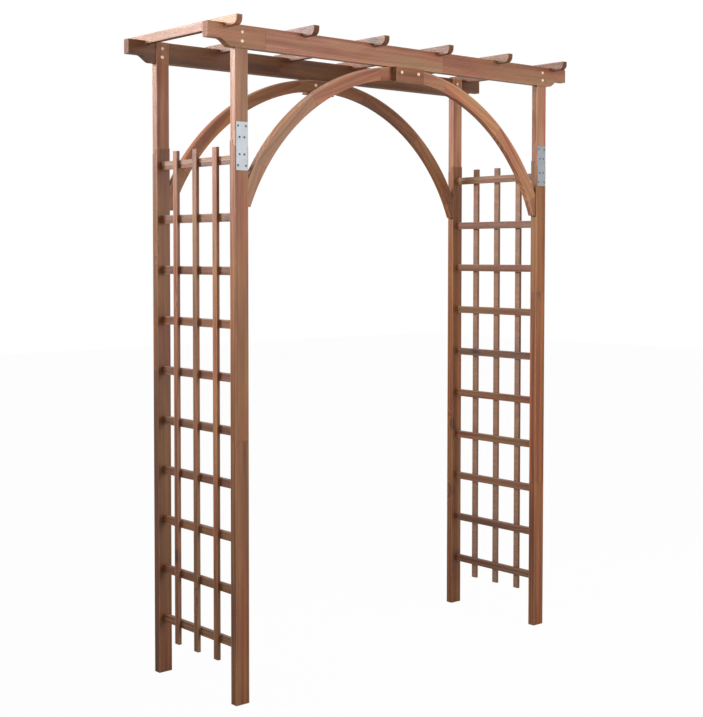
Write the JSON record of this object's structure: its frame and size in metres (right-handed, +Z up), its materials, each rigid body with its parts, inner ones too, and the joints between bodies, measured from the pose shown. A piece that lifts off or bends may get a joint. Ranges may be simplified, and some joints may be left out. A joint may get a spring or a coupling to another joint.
{
  "type": "garden arch",
  "caption": "Free-standing timber garden arch: spliced posts, curved braces under twin beams, rafters on top and a lattice at each side.",
  "frame": {"origin": "on the ground, in the middle between the four posts", "axes": "+Z up, +X to the right and +Y to the back, as seen from the front"},
  "size_m": [1.66, 0.602, 2.144],
  "materials": {
    "lower_post_wood": "oil stained softwood, satin",
    "upper_post_wood": "oil stained softwood, satin, paler",
    "beam_wood": "oil stained softwood, satin",
    "rafter_wood": "oil stained softwood, satin",
    "arch_wood": "oil stained glued softwood, satin",
    "lattice_wood": "oil stained softwood, satin",
    "galvanised_plate": "galvanised, dull",
    "bolt_zinc": "zinc plated, slightly warm"
  },
  "bodies": {
    "root": {"front_left_post_lower": "lower_post_wood", "front_right_post_lower": "lower_post_wood", "back_left_post_lower": "lower_post_wood", "back_right_post_lower": "lower_post_wood", "front_left_post_upper": "upper_post_wood", "front_right_post_upper": "upper_post_wood", "back_left_post_upper": "upper_post_wood", "back_right_post_upper": "upper_post_wood", "front_left_joint_plate": "galvanised_plate", "front_right_joint_plate": "galvanised_plate", "back_left_joint_plate": "galvanised_plate", "back_right_joint_plate": "galvanised_plate", "front_beam": "beam_wood", "back_beam": "beam_wood", "rafter_1": "rafter_wood", "rafter_2": "rafter_wood", "rafter_3": "rafter_wood", "rafter_4": "rafter_wood", "rafter_5": "rafter_wood", "rafter_6": "rafter_wood", "front_arch_left": "arch_wood", "front_arch_right": "arch_wood", "back_arch_left": "arch_wood", "back_arch_right": "arch_wood", "front_crown_block": "beam_wood", "back_crown_block": "beam_wood", "left_lattice": "lattice_wood", "right_lattice": "lattice_wood", "front_beam_bolts": "bolt_zinc", "back_beam_bolts": "bolt_zinc", "front_crown_bolts": "bolt_zinc", "back_crown_bolts": "bolt_zinc"}
  },
  "joints": []
}
